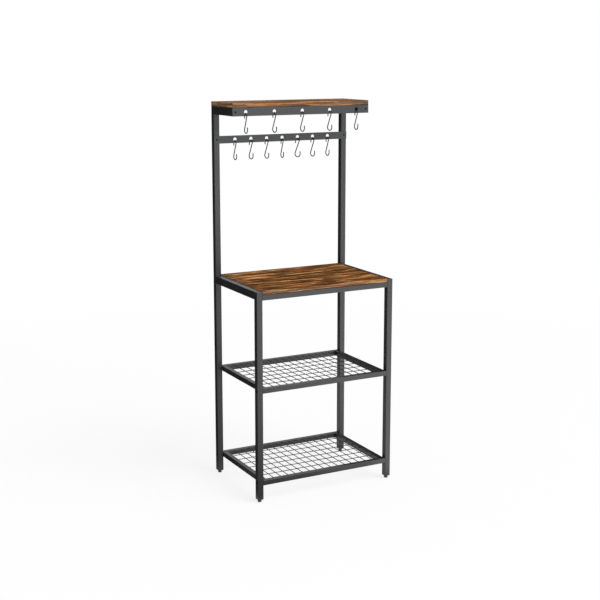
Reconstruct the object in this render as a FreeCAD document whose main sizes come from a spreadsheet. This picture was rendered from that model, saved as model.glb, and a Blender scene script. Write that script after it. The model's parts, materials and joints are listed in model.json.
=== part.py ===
import FreeCAD, Part

import math
import os
import re

import Sketcher
from FreeCAD import Placement, Rotation, Vector

# Kitchen shelving unit: four square posts carry two wire shelves and a worktop, and the two rear
# posts go on up to a shallow top shelf with a row of S-hooks under it and another on a strip below.
# Millimetres. X points right, Y points back and Z up, from the floor under the unit's middle.

doc = FreeCAD.newDocument("ShelvingUnit")
sheet = doc.addObject("Spreadsheet::Sheet", "Sizes")

SIZES = (
    ("width", 600, "over the outer faces of the posts"),
    ("depth", 400, "over the front faces of the legs and the back faces of the posts"),
    ("height", 1526, "floor to the top of the top board"),
    ("post_side", 24, "side of the square tube of legs and posts"),
    ("tube_wall", 1.2, "wall of every tube"),
    ("tube_corner", 1.8, "outer corner radius of every tube"),
    ("insert_gap", 0.2, "between a plug or connector and the tube round it"),
    ("thread_gap", 0.05, "between a thread and the hole it bites in"),
    ("pass_gap", 0.3, "between a screw and a hole it only passes through"),
    ("overrun", 5, "how far a cut runs past what it cuts"),

    ("foot_radius", 7.5, "levelling foot's disc"),
    ("foot_high", 8, "levelling foot's disc"),
    ("foot_bevel", 1, "edges of the disc"),
    ("foot_neck", 2, "bare stud between disc and plug"),
    ("stud_radius", 4, "levelling foot's threaded stud"),
    ("stud_long", 20, "stud above the disc"),
    ("plug_flange", 3, "plug's flange under the tube"),
    ("plug_bevel", 1.5, "lower edge of the flange"),
    ("plug_long", 18, "plug inside the tube"),
    ("cap_thick", 2, "cap on a front leg"),
    ("cap_bevel", 0.6, "upper edge of the cap"),
    ("cap_long", 12, "cap's shank inside the tube"),

    ("worktop_top", 833, "floor to the worktop"),
    ("worktop_thick", 15, "worktop board"),
    ("board_proud", 2.5, "how far the worktop stands above its side rails"),
    ("board_gap", 0.5, "between the worktop's ends and the frame"),
    ("board_round", 1, "edges of both boards"),
    ("side_rail_high", 30, "worktop's side rails"),
    ("cross_rail_deep", 20, "worktop's front and rear rails"),
    ("cross_rail_high", 20, "worktop's front and rear rails"),

    ("mid_shelf_top", 455, "floor to the middle shelf's frame"),
    ("low_shelf_top", 87, "floor to the low shelf's frame"),
    ("shelf_rail_wide", 20, "tube of the shelf frames"),
    ("shelf_rail_high", 20, "tube of the shelf frames"),
    ("wire_radius", 1.5, "shelf wires"),
    ("wire_sink", 0.3, "upper wires below the top of the frame"),
    ("wire_bite", 0.3, "how deep crossing wires are welded into each other"),
    ("deep_wires", 15, "count of the wires that run front to back"),
    ("cross_wires", 6, "count of the wires that run left to right"),

    ("top_board_thick", 18, "top board"),
    ("top_board_deep", 200, "top board, from the back faces of the posts"),
    ("arm_high", 32, "arms under the top board, and the apron before them"),
    ("arm_plug_long", 14, "plug in the front end of an arm"),
    ("strip_thick", 2, "apron and hook strip"),
    ("strip_round", 1, "corners of the apron and the hook strip"),
    ("strip_high", 30, "hook strip"),
    ("strip_drop", 85, "hook strip's upper edge below the arms"),
    ("hole_radius", 7.25, "hook holes"),
    ("apron_hole_inset", 56, "apron's end holes from its ends"),
    ("apron_holes", 5, "count of the apron's hook holes"),
    ("strip_hole_inset", 90, "hook strip's end holes from its ends"),
    ("strip_holes", 7, "count of the strip's hook holes"),
    ("connector_long", 80, "connector inside a rear post, half in each length of tube"),
    ("connector_wall", 2, "connector's wall"),

    ("hook_wire", 2, "radius of the S-hooks' wire"),
    ("hook_upper_bend", 9, "upper bend's radius at the wire's middle"),
    ("hook_lower_bend", 12, "lower bend's radius at the wire's middle"),
    ("hook_drop", 55, "from the upper bend's centre down to the lower one's"),
    ("hook_shift", 0.9, "lower bend's centre ahead of the upper one's, so that the hook hangs plumb"),
    ("hook_back_tip", 12, "straight end behind the strip"),
    ("hook_front_tip", 11, "straight end of the lower bend"),
    ("hook_tip_round", 1, "edges of the cut ends"),
    ("hook_gap", 0.3, "between a hook and the hole's lower edge"),

    ("bolt_radius", 2.5, "frame bolts"),
    ("bolt_head_radius", 4.75, "frame bolts"),
    ("bolt_head_high", 2.2, "frame bolts"),
    ("bolt_head_bevel", 1.2, "edge of a bolt's head"),
    ("bolt_key", 1.5, "half of the bolt's hexagon socket across its flats"),
    ("bolt_key_deep", 1.3, "bolt's hexagon socket"),
    ("bolt_bite", 13, "bolt inside its nut block"),
    ("nut_long", 16, "nut block in the end of a rail"),
    ("screw_radius", 1.75, "screws"),
    ("screw_head_radius", 3.5, "screws"),
    ("screw_head_high", 1.6, "screws"),
    ("screw_head_bevel", 0.8, "edge of a screw's head"),
    ("board_bite", 10, "wood screws inside a board"),
    ("wall_bite", 6, "screws past the face of a tube"),
    ("arm_bite", 12, "apron screws past the apron"),
    ("board_screw_inset", 100, "worktop screws from the posts"),
    ("top_screw_inset", 40, "top board screws from the board's front edge and from the posts"),
    ("connector_screw_rise", 20, "connector screws above the seam"),
)

PLACES = (
    ("post_x", "width / 2 - post_side / 2", "middle of a post from the unit's middle"),
    ("post_y", "depth / 2 - post_side / 2", "middle of a post from the unit's middle"),
    ("inner_x", "width / 2 - post_side", "inner face of a post"),
    ("post_front", "depth / 2 - post_side", "front face of a rear post"),
    ("tube_start", "foot_high + foot_neck + plug_flange", "lower end of legs and posts"),
    ("frame_top", "worktop_top - board_proud", "tops of the front legs and the side rails, and the seam of the rear posts"),
    ("leg_long", "frame_top - cap_thick - tube_start", "front leg's tube"),
    ("lower_post_long", "frame_top - tube_start", "rear post's lower length"),
    ("arm_top", "height - top_board_thick", "underside of the top board"),
    ("upper_post_long", "arm_top - frame_top", "rear post's upper length"),
    ("cross_rail_y", "depth / 2 - cross_rail_deep / 2", "middle of the worktop's front and rear rails"),
    ("cross_rail_top", "worktop_top - worktop_thick", "underside of the worktop"),
    ("cross_rail_z", "cross_rail_top - cross_rail_high / 2", "middle of those rails"),
    ("shelf_rail_y", "depth / 2 - shelf_rail_wide / 2", "middle of the shelf frames' front and rear rails"),
    ("shelf_side_x", "inner_x - shelf_rail_wide / 2", "middle of the shelf frames' side rails"),
    ("mid_rail_z", "mid_shelf_top - shelf_rail_high / 2", "middle of the middle shelf's frame"),
    ("low_rail_z", "low_shelf_top - shelf_rail_high / 2", "middle of the low shelf's frame"),
    ("mesh_wide", "2 * inner_x - 2 * shelf_rail_wide", "inside of a shelf frame"),
    ("mesh_deep", "depth - 2 * shelf_rail_wide", "inside of a shelf frame"),
    ("deep_wire_step", "mesh_wide / (deep_wires + 1)", "between wires that run front to back"),
    ("cross_wire_step", "mesh_deep / (cross_wires + 1)", "between wires that run left to right"),
    ("deep_wire_z", "-wire_sink - wire_radius", "wires that run front to back, from the frame's top"),
    ("cross_wire_z", "deep_wire_z - 2 * wire_radius + wire_bite", "wires that run left to right"),
    ("apron_front", "depth / 2 - top_board_deep", "front faces of the apron and the top board"),
    ("arm_long", "post_front - apron_front - strip_thick", "arm from the apron to the post"),
    ("arm_z", "arm_top - arm_high / 2", "middle of the arms and the apron"),
    ("strip_front", "post_front - strip_thick", "front face of the hook strip"),
    ("strip_z", "arm_top - arm_high - strip_drop - strip_high / 2", "middle of the hook strip"),
    ("apron_hole_step", "(width - 2 * apron_hole_inset) / (apron_holes - 1)", "between the apron's hook holes"),
    ("strip_hole_step", "(width - 2 * strip_hole_inset) / (strip_holes - 1)", "between the strip's hook holes"),
    ("insert_shrink", "2 * tube_wall + 2 * insert_gap", "what a plug is smaller than its tube"),
    ("insert_side", "post_side - insert_shrink", "plugs and connectors of the posts"),
    ("insert_corner", "tube_corner - tube_wall", "inner corner radius of every tube"),
    ("hook_rise", "hook_gap - hole_radius - hook_upper_bend + hook_wire", "hook's upper centre from the hole's"),
)

NAMES = {entry[0] for entry in SIZES + PLACES}

# Turns of the hooks about the upright, in degrees, from left to right
STRIP_HOOK_TURNS = (4, 15, 16, 0, 32, 15, 5)
APRON_HOOK_TURNS = (2, 12, 11, 15, 3)

# Numbers by which a sketch knows its own axes and the ends of its lines and arcs
ACROSS_AXIS, UP_AXIS = range(-1, -3, -1)
START, END, CENTRE = range(1, 4)
ORIGIN = (ACROSS_AXIS, START)

nodes = []


# Sheet and formulas

def fill_sheet():
    for row, (name, value, note) in enumerate(SIZES + PLACES, start=1):
        sheet.set("A%d" % row, name)
        sheet.set("B%d" % row, "=" + value if isinstance(value, str) else str(value))
        sheet.setAlias("B%d" % row, name)
        sheet.set("C%d" % row, note)
    doc.recompute()


def formula(text):
    """The text as another object writes it, with the sheet's name before each size's."""
    return re.sub(r"\w+", lambda word: "Sizes." * (word.group() in NAMES) + word.group(), text)


def number(text):
    return float(sheet.evalExpression(formula(text)))


def bind(thing, where, text):
    thing.setExpression(where, formula(text))


# Bodies and sketches

def new_body(label, x="0", y="0", z="0", turn=0):
    body = doc.addObject("PartDesign::Body", label)
    body.Label = label
    body.Placement = Placement(Vector(), Rotation(Vector(0, 0, 1), turn))
    for axis, place in (("x", x), ("y", y), ("z", z)):
        bind(body, ".Placement.Base." + axis, place)
    nodes.append(body)
    return body


def origin_part(body, role):
    return next(thing for thing in body.Origin.OriginFeatures if thing.Role == role)


def sketch_on(body, plane, x="0", y="0", z="0"):
    """A sketch on one of the body's own planes, moved by x and y along it and by z off it."""
    sketch = body.newObject("Sketcher::SketchObject", body.Label + "_sketch")
    sketch.AttachmentSupport = [(origin_part(body, plane), "")]
    sketch.MapMode = "FlatFace"
    for axis, place in (("x", x), ("y", y), ("z", z)):
        bind(sketch, "AttachmentOffset.Base." + axis, place)
    return sketch


def dimension(sketch, kind, where, size):
    index = sketch.addConstraint(Sketcher.Constraint(kind, *where, number(size)))
    bind(sketch, "Constraints[%d]" % index, size)


def pin(sketch, geometry, point, across, up):
    """Holds a point of the sketch at its distances from the sketch's origin."""
    for kind, size, axis in (("DistanceX", across, UP_AXIS), ("DistanceY", up, ACROSS_AXIS)):
        if size == "0":
            sketch.addConstraint(Sketcher.Constraint("PointOnObject", geometry, point, axis))
        else:
            dimension(sketch, kind, (*ORIGIN, geometry, point), size)


def outline(sketch, points):
    """A closed outline of straight lines through the points, each a pair of sizes."""
    first = sketch.GeometryCount
    spots = [Vector(number(across), number(up), 0) for across, up in points]
    for start, end in zip(spots, spots[1:] + spots[:1]):
        sketch.addGeometry(Part.LineSegment(start, end), False)
    for index, (across, up) in enumerate(points):
        following = (index + 1) % len(points)
        sketch.addConstraint(Sketcher.Constraint("Coincident", first + index, END, first + following, START))
        pin(sketch, first + index, START, across, up)


def circle(sketch, across, up, radius):
    centre = Vector(number(across), number(up), 0)
    index = sketch.addGeometry(Part.Circle(centre, Vector(0, 0, 1), number(radius)), False)
    pin(sketch, index, CENTRE, across, up)
    dimension(sketch, "Radius", (index,), radius)


def rounded_rectangle(sketch, wide, high, corner):
    """A rectangle with round corners about the sketch's origin."""
    first = sketch.GeometryCount
    x = number("(%s) / 2" % wide)
    y = number("(%s) / 2" % high)
    r = number(corner)
    lines = (
        (Vector(r - x, -y, 0), Vector(x - r, -y, 0)),
        (Vector(x, r - y, 0), Vector(x, y - r, 0)),
        (Vector(x - r, y, 0), Vector(r - x, y, 0)),
        (Vector(-x, y - r, 0), Vector(-x, r - y, 0)),
    )
    centres = (Vector(x - r, r - y, 0), Vector(x - r, y - r, 0), Vector(r - x, y - r, 0), Vector(r - x, r - y, 0))
    for start, end in lines:
        sketch.addGeometry(Part.LineSegment(start, end), False)
    for quarter, centre in enumerate(centres):
        begin = (quarter - 1) * math.pi / 2
        round_corner = Part.ArcOfCircle(Part.Circle(centre, Vector(0, 0, 1), r), begin, begin + math.pi / 2)
        sketch.addGeometry(round_corner, False)
    for index in range(4):
        line = first + index
        arc = first + 4 + index
        next_line = first + (index + 1) % 4
        sketch.addConstraint(Sketcher.Constraint("Tangent", line, END, arc, START))
        sketch.addConstraint(Sketcher.Constraint("Tangent", arc, END, next_line, START))
        sketch.addConstraint(Sketcher.Constraint("Vertical" if index % 2 else "Horizontal", line))
        if index:
            sketch.addConstraint(Sketcher.Constraint("Equal", first + 4, arc))
    dimension(sketch, "Radius", (first + 4,), corner)
    across = "(%s) / 2 - (%s)" % (wide, corner)
    up = "(%s) / 2 - (%s)" % (high, corner)
    pin(sketch, first + 5, CENTRE, across, up)
    pin(sketch, first + 7, CENTRE, "-(%s)" % across, "-(%s)" % up)


# Features

def pad(body, sketch, length, symmetric=False, reverse=False):
    feature = body.newObject("PartDesign::Pad", body.Label + "_pad")
    feature.Profile = sketch
    feature.SideType = "Symmetric" if symmetric else "One side"
    feature.Reversed = reverse
    bind(feature, "Length", length)
    return feature


def cut(body, sketch, length, symmetric=False, reverse=False):
    feature = body.newObject("PartDesign::Pocket", body.Label + "_cut")
    feature.Profile = sketch
    feature.SideType = "Symmetric" if symmetric else "One side"
    feature.Reversed = reverse
    bind(feature, "Length", length)
    return feature


def revolve(body, sketch, axis):
    """A solid of revolution about one of the sketch's own axes."""
    feature = body.newObject("PartDesign::Revolution", body.Label + "_turning")
    feature.Profile = sketch
    feature.ReferenceAxis = (sketch, [axis])
    feature.Angle = 360
    return feature


def edges_where(feature, wanted):
    doc.recompute()
    return ["Edge%d" % index for index, edge in enumerate(feature.Shape.Edges, start=1) if wanted(edge)]


def ease(body, feature, kind, size, wanted):
    """A fillet or chamfer on the feature's wanted edges."""
    easing = body.newObject("PartDesign::" + kind, body.Label + "_" + kind.lower())
    easing.Base = (feature, edges_where(feature, wanted))
    bind(easing, "Radius" if kind == "Fillet" else "Size", size)
    return easing


def repeat(body, feature, axis, step, count):
    """Copies of one feature along an axis, with the first where it is."""
    pattern = body.newObject("PartDesign::LinearPattern", body.Label + "_row")
    pattern.Originals = [feature]
    pattern.Direction = (origin_part(body, axis), [""])
    pattern.Mode = "Spacing"
    bind(pattern, "Offset", step)
    bind(pattern, "Occurrences", count)
    body.Tip = pattern
    return pattern


def mirror_all(body, axis=None, step=None):
    """The whole body again on the unit's other side, and both again one step along an axis."""
    whole = body.newObject("PartDesign::MultiTransform", body.Label + "_set")
    whole.TransformMode = "Whole shape"
    mirrored = doc.addObject("PartDesign::Mirrored", body.Label + "_mirrored")
    mirrored.MirrorPlane = (origin_part(body, "YZ_Plane"), [""])
    body.addObject(mirrored)
    moves = [mirrored]
    if axis:
        row = doc.addObject("PartDesign::LinearPattern", body.Label + "_pair")
        row.Direction = (origin_part(body, axis), [""])
        row.Mode = "Spacing"
        row.Occurrences = 2
        bind(row, "Offset", step)
        body.addObject(row)
        moves.append(row)
    whole.Transformations = moves
    body.Tip = whole


# Kinds of piece

SECTION_PLANES = {"x": "YZ_Plane", "y": "XZ_Plane", "z": "XY_Plane"}


def tube(label, along, wide, high, length, x, y, z):
    """A tube about its own middle; a section across X is wide in Y, and any other is wide in X."""
    body = new_body(label, x, y, z)
    section = sketch_on(body, SECTION_PLANES[along])
    rounded_rectangle(section, wide, high, "tube_corner")
    rounded_rectangle(section, wide + " - 2 * tube_wall", high + " - 2 * tube_wall", "insert_corner")
    pad(body, section, length, symmetric=True)
    return body


def drill(body, plane, places, radius, length, reverse=False, symmetric=True):
    """Round holes square to a plane of the body, each place a pair of sizes on that plane."""
    sketch = sketch_on(body, plane)
    for across, up in places:
        circle(sketch, across, up, radius)
    return cut(body, sketch, length, symmetric, reverse)


def board(label, wide, deep, thick, y, z):
    """A flat board whose origin is the middle of its underside."""
    body = new_body(label, y=y, z=z)
    sketch = sketch_on(body, "XY_Plane")
    x = "(%s) / 2" % wide
    half = "(%s) / 2" % deep
    outline(sketch, (("-" + x, "-" + half), (x, "-" + half), (x, half), ("-" + x, half)))
    slab = pad(body, sketch, thick)
    ease(body, slab, "Fillet", "board_round", lambda edge: True)
    return body


def holed_strip(label, high, y, z, step, count):
    """A flat strip, upright across the unit, with a row of hook holes and a screw hole at each end."""
    body = new_body(label, y=y, z=z)
    sketch = sketch_on(body, "XZ_Plane")
    rounded_rectangle(sketch, "width", high, "strip_round")
    pad(body, sketch, "strip_thick", reverse=True)
    screw_places = (("-post_x", "0"), ("post_x", "0"))
    drill(body, "XZ_Plane", screw_places, "screw_radius + pass_gap", "2 * strip_thick + overrun")
    first_hole = ("-(%s) * (%s - 1) / 2" % (step, count), "0")
    hole = drill(body, "XZ_Plane", (first_hole,), "hole_radius", "2 * strip_thick + overrun")
    repeat(body, hole, "X_Axis", step, count)
    return body


def headed(body, sketch_plane, head_radius, head_high, bevel, shank_radius, shank_long, axis, **shift):
    """A bolt or screw whose head lies before the sketch's origin and whose shank runs on from it."""
    points = [
        ("-(%s)" % head_high, "0"),
        ("-(%s)" % head_high, "%s - %s" % (head_radius, bevel)),
        ("%s - (%s)" % (bevel, head_high), head_radius),
        ("0", head_radius),
        ("0", shank_radius),
        (shank_long, shank_radius),
        ("%s + %s / 2" % (shank_long, shank_radius), "%s / 2" % shank_radius),
        ("%s + %s / 2" % (shank_long, shank_radius), "0"),
    ]
    sketch = sketch_on(body, sketch_plane, **shift)
    if axis == "V_Axis":
        points = [(up, across) for across, up in points]
    outline(sketch, points)
    return revolve(body, sketch, axis)


def screw(body, sketch_plane, long, axis, **shift):
    return headed(
        body, sketch_plane, "screw_head_radius", "screw_head_high", "screw_head_bevel",
        "screw_radius", long, axis, **shift)


# Frame

BOLT_LEVELS = ("low_rail_z", "mid_rail_z", "cross_rail_z")


def bolt_holes(body, middle, rail_places):
    """Holes from side to side where the frame bolts pass, each at its own rail's middle."""
    places = [(rail, "%s - (%s)" % (level, middle)) for level, rail in zip(BOLT_LEVELS, rail_places)]
    drill(body, "YZ_Plane", places, "bolt_radius + pass_gap", "post_side + overrun")


def side_frame(side, sign):
    """One side's front leg, rear post and worktop rail, with the connector in the post."""
    x = sign + "post_x"
    middle = "tube_start + leg_long / 2"
    leg = tube(side + "_front_leg", "z", "post_side", "post_side", "leg_long", x, "-post_y", middle)
    rails = ("shelf_rail_y", "shelf_rail_y", "cross_rail_y")
    bolt_holes(leg, middle, ["post_y - " + rail for rail in rails])

    middle = "tube_start + lower_post_long / 2"
    post = tube(side + "_rear_lower_post", "z", "post_side", "post_side", "lower_post_long", x, "post_y", middle)
    bolt_holes(post, middle, [rail + " - post_y" for rail in rails])

    tube(
        side + "_worktop_side_rail", "y", "post_side", "side_rail_high", "2 * post_front",
        x, "0", "frame_top - side_rail_high / 2")

    middle = "frame_top + upper_post_long / 2"
    upper = tube(side + "_upper_post", "z", "post_side", "post_side", "upper_post_long", x, "post_y", middle)
    inward = side == "left"
    screw_place = (("0", "connector_screw_rise - upper_post_long / 2"),)
    drill(upper, "YZ_Plane", screw_place, "screw_radius + pass_gap", "post_side / 2 + overrun", inward, False)
    screw_place = (("0", "strip_z - (%s)" % middle),)
    drill(upper, "XZ_Plane", screw_place, "screw_radius + thread_gap", "post_side / 2 + overrun", True, False)

    connector = new_body(side + "_post_connector", x, "post_y", "frame_top")
    section = sketch_on(connector, "XY_Plane")
    rounded_rectangle(section, "insert_side", "insert_side", "insert_corner")
    bore = "insert_side - 2 * connector_wall"
    outline(section, (
        ("-(%s) / 2" % bore, "-(%s) / 2" % bore),
        ("(%s) / 2" % bore, "-(%s) / 2" % bore),
        ("(%s) / 2" % bore, "(%s) / 2" % bore),
        ("-(%s) / 2" % bore, "(%s) / 2" % bore),
    ))
    pad(connector, section, "connector_long", symmetric=True)
    screw_place = (("0", "connector_screw_rise"),)
    drill(connector, "YZ_Plane", screw_place, "screw_radius + thread_gap", "post_side / 2", inward, False)
    bolt_place = (("cross_rail_y - post_y", "cross_rail_z - frame_top"),)
    drill(connector, "YZ_Plane", bolt_place, "bolt_radius + pass_gap", "post_side")


def connector_screws():
    """Screws through the upper posts; the worktop's bolts hold the connectors in the lower ones."""
    body = new_body("connector_screws", y="post_y", z="frame_top + connector_screw_rise")
    screw(body, "XZ_Plane", "wall_bite", "H_Axis", x="inner_x")
    mirror_all(body)


def frame_bolts(label, level, rail_y):
    """The four bolts that join one level's front and rear rails to the legs and posts."""
    body = new_body(label, y="-" + rail_y, z=level)
    headed(
        body, "XZ_Plane", "bolt_head_radius", "bolt_head_high", "bolt_head_bevel",
        "bolt_radius", "post_side + bolt_bite", "H_Axis", x="-width / 2")
    key = sketch_on(body, "YZ_Plane", z="-width / 2 - bolt_head_high")
    half_corner = "bolt_key / sqrt(3)"
    outline(key, (
        ("-bolt_key", "-" + half_corner),
        ("0", "-2 * " + half_corner),
        ("bolt_key", "-" + half_corner),
        ("bolt_key", half_corner),
        ("0", "2 * " + half_corner),
        ("-bolt_key", half_corner),
    ))
    cut(body, key, "bolt_key_deep", reverse=True)
    mirror_all(body, "Y_Axis", "2 * " + rail_y)


def nut_blocks(label, level, rail_y, wide, high):
    """Threaded blocks in the four ends of one level's front and rear rails."""
    body = new_body(label, y="-" + rail_y, z=level)
    section = sketch_on(body, "YZ_Plane", z="-inner_x")
    rounded_rectangle(section, wide + " - insert_shrink", high + " - insert_shrink", "insert_corner")
    circle(section, "0", "0", "bolt_radius + thread_gap")
    pad(body, section, "nut_long")
    mirror_all(body, "Y_Axis", "2 * " + rail_y)


def leg_plugs():
    """Plugs in the lower ends of legs and posts, threaded for the levelling feet."""
    body = new_body("leg_plugs", y="-post_y", z="tube_start")
    flange = sketch_on(body, "XY_Plane", x="-post_x")
    rounded_rectangle(flange, "post_side", "post_side", "tube_corner")
    plate = pad(body, flange, "plug_flange", reverse=True)
    ease(body, plate, "Chamfer", "plug_bevel", lambda edge: edge.BoundBox.ZMax < -number("plug_flange / 2"))
    shank = sketch_on(body, "XY_Plane", x="-post_x")
    rounded_rectangle(shank, "insert_side", "insert_side", "insert_corner")
    pad(body, shank, "plug_long")
    bore = sketch_on(body, "XY_Plane", x="-post_x")
    circle(bore, "0", "0", "stud_radius + thread_gap")
    cut(body, bore, "2 * plug_long + 2 * plug_flange + overrun", symmetric=True)
    mirror_all(body, "Y_Axis", "2 * post_y")


def front_leg_caps():
    body = new_body("front_leg_caps", y="-post_y", z="frame_top - cap_thick")
    flange = sketch_on(body, "XY_Plane", x="-post_x")
    rounded_rectangle(flange, "post_side", "post_side", "tube_corner")
    plate = pad(body, flange, "cap_thick")
    ease(body, plate, "Chamfer", "cap_bevel", lambda edge: edge.BoundBox.ZMin > number("cap_thick / 2"))
    shank = sketch_on(body, "XY_Plane", x="-post_x")
    rounded_rectangle(shank, "insert_side", "insert_side", "insert_corner")
    pad(body, shank, "cap_long", reverse=True)
    mirror_all(body)


def levelling_foot(label, x, y):
    body = new_body(label, x, y)
    sketch = sketch_on(body, "XZ_Plane")
    outline(sketch, (
        ("0", "0"),
        ("foot_radius - foot_bevel", "0"),
        ("foot_radius", "foot_bevel"),
        ("foot_radius", "foot_high - foot_bevel"),
        ("foot_radius - foot_bevel", "foot_high"),
        ("stud_radius", "foot_high"),
        ("stud_radius", "foot_high + stud_long"),
        ("0", "foot_high + stud_long"),
    ))
    revolve(body, sketch, "V_Axis")


# Worktop

def worktop():
    board_wide = "2 * inner_x - 2 * board_gap"
    top = board("worktop_board", board_wide, "depth", "worktop_thick", "0", "cross_rail_top")
    screw_x = "inner_x - board_screw_inset"
    screw_places = [
        (side + "(%s)" % screw_x, end + "cross_rail_y")
        for side in ("-", "") for end in ("-", "")
    ]
    drill(top, "XY_Plane", screw_places, "screw_radius + thread_gap", "board_bite + screw_radius", True, False)
    for end, sign in (("front", "-"), ("rear", "")):
        rail = tube(
            "worktop_%s_rail" % end, "x", "cross_rail_deep", "cross_rail_high", "2 * inner_x",
            "0", sign + "cross_rail_y", "cross_rail_z")
        places = (("-(%s)" % screw_x, "0"), (screw_x, "0"))
        drill(rail, "XY_Plane", places, "screw_radius + pass_gap", "cross_rail_high + overrun")
    screws = new_body("worktop_board_screws", y="-cross_rail_y", z="cross_rail_top - cross_rail_high")
    screw(screws, "XZ_Plane", "cross_rail_high + board_bite", "V_Axis", x="-(%s)" % screw_x)
    mirror_all(screws, "Y_Axis", "2 * cross_rail_y")
    frame_bolts("worktop_rail_bolts", "cross_rail_z", "cross_rail_y")
    nut_blocks("worktop_rail_nuts", "cross_rail_z", "cross_rail_y", "cross_rail_deep", "cross_rail_high")


# Wire shelves

def mesh(label, top):
    """Crossing wires inside a shelf frame, welded where they cross, as one piece."""
    body = new_body(label, z=top)
    cross_start = "-(cross_wires - 1) / 2 * cross_wire_step"
    cross_section = sketch_on(body, "YZ_Plane")
    circle(cross_section, cross_start, "cross_wire_z", "wire_radius")
    cross_wire = pad(body, cross_section, "mesh_wide", symmetric=True)
    deep_section = sketch_on(body, "XZ_Plane")
    circle(deep_section, "-(deep_wires - 1) / 2 * deep_wire_step", "deep_wire_z", "wire_radius")
    deep_wire = pad(body, deep_section, "mesh_deep", symmetric=True)
    repeat(body, deep_wire, "X_Axis", "deep_wire_step", "deep_wires")
    repeat(body, cross_wire, "Y_Axis", "cross_wire_step", "cross_wires")


def wire_shelf(level):
    """A frame of four tubes between the posts, with its mesh, bolts and nut blocks."""
    middle = level + "_rail_z"
    for end, sign in (("front", "-"), ("rear", "")):
        tube(
            "%s_shelf_%s_rail" % (level, end), "x", "shelf_rail_wide", "shelf_rail_high", "2 * inner_x",
            "0", sign + "shelf_rail_y", middle)
    for side, sign in (("left", "-"), ("right", "")):
        tube(
            "%s_shelf_%s_rail" % (level, side), "y", "shelf_rail_wide", "shelf_rail_high", "mesh_deep",
            sign + "shelf_side_x", "0", middle)
    mesh(level + "_shelf_mesh", level + "_shelf_top")
    frame_bolts(level + "_shelf_bolts", middle, "shelf_rail_y")
    nut_blocks(level + "_shelf_nuts", middle, "shelf_rail_y", "shelf_rail_wide", "shelf_rail_high")


# Top shelf, apron and hook strip

def top_shelf():
    board_y = "depth / 2 - top_board_deep / 2"
    top = board("top_shelf_board", "width", "top_board_deep", "top_board_thick", board_y, "arm_top")
    near = "apron_front + top_screw_inset"
    far = "post_front - top_screw_inset"
    screw_places = [
        (side + "post_x", "%s - (%s)" % (place, board_y))
        for side in ("-", "") for place in (near, far)
    ]
    drill(top, "XY_Plane", screw_places, "screw_radius + thread_gap", "board_bite + screw_radius", True, False)

    arm_middle = "post_front - arm_long / 2"
    for side, sign in (("left", "-"), ("right", "")):
        arm = tube(
            side + "_top_shelf_arm", "y", "post_side", "arm_high", "arm_long",
            sign + "post_x", arm_middle, "arm_z")
        places = (("0", "%s - (%s)" % (near, arm_middle)), ("0", "%s - (%s)" % (far, arm_middle)))
        drill(arm, "XY_Plane", places, "screw_radius + pass_gap", "arm_high + overrun")
    screws = new_body("top_board_screws", y=near, z="arm_top - arm_high")
    screw(screws, "XZ_Plane", "arm_high + board_bite", "V_Axis", x="-post_x")
    mirror_all(screws, "Y_Axis", "%s - (%s)" % (far, near))

    plugs = new_body("arm_plugs", y="apron_front + strip_thick", z="arm_z")
    section = sketch_on(plugs, "XZ_Plane", x="-post_x")
    rounded_rectangle(section, "insert_side", "arm_high - insert_shrink", "insert_corner")
    circle(section, "0", "0", "screw_radius + thread_gap")
    pad(plugs, section, "arm_plug_long", reverse=True)
    mirror_all(plugs)


def strips_and_hooks():
    holed_strip("top_shelf_apron", "arm_high", "apron_front", "arm_z", "apron_hole_step", "apron_holes")
    holed_strip("hook_strip", "strip_high", "strip_front", "strip_z", "strip_hole_step", "strip_holes")
    for label, front, middle, bite in (
        ("apron_screws", "apron_front", "arm_z", "arm_bite"),
        ("hook_strip_screws", "strip_front", "strip_z", "wall_bite"),
    ):
        screws = new_body(label, y=front, z=middle)
        screw(screws, "YZ_Plane", "strip_thick + " + bite, "H_Axis", z="-post_x")
        mirror_all(screws)
    for row, turns, middle in (("strip", STRIP_HOOK_TURNS, "strip_z"), ("apron", APRON_HOOK_TURNS, "arm_z")):
        for index, angle in enumerate(turns):
            x = "(%d - (%s_holes - 1) / 2) * %s_hole_step" % (index, row, row)
            y = row + "_front + strip_thick / 2"
            s_hook("%s_hook_%d" % (row, index + 1), x, y, middle + " + hook_rise", angle)


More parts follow.
